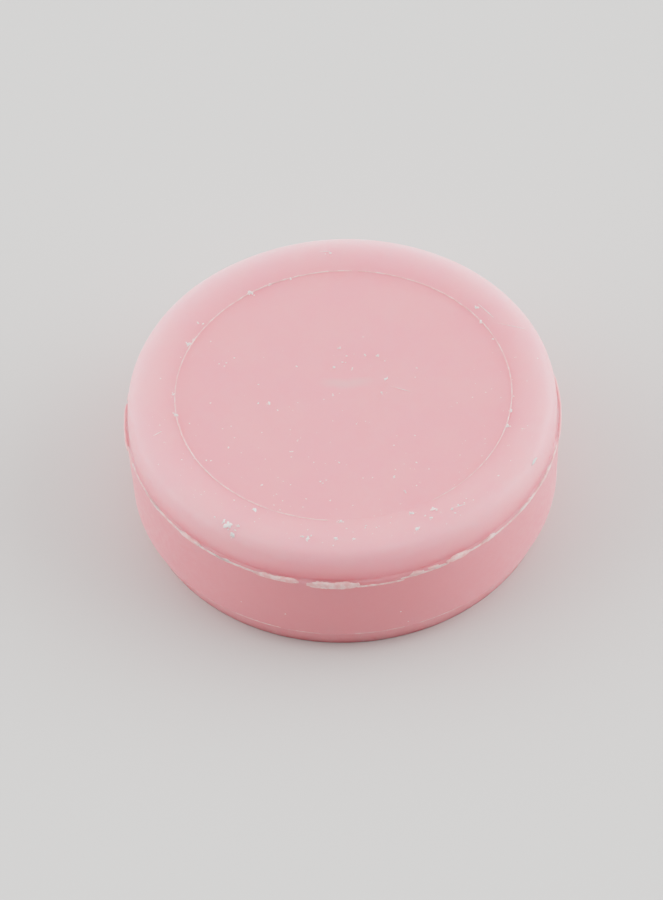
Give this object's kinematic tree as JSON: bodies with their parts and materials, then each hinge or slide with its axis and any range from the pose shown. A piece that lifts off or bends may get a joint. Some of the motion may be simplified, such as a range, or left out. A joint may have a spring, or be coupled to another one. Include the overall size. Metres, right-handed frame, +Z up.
{
  "type": "shaving soap puck",
  "caption": "Round pressed puck of shaving soap with a raised crown, slightly sunk top panel, torn parting film on a ledge, tapered wall, bevelled foot and flat base.",
  "frame": {"origin": "centre of the flat base, on the surface the puck rests on", "axes": "+Z up through the crown, along the puck's axis; -Y towards the viewer; +X to the viewer's right"},
  "size_m": [0.06, 0.06, 0.0204],
  "materials": {
    "milled_soap": "smooth pressed soap, soft sheen, slightly translucent",
    "dry_soap_film": "thin torn soap, dry and whitish"
  },
  "bodies": {
    "root": {"soap_body": "milled_soap", "parting_flash": "dry_soap_film", "panel_burr": "dry_soap_film", "bevel_burr": "dry_soap_film", "soap_crumbs": "dry_soap_film"}
  },
  "joints": []
}
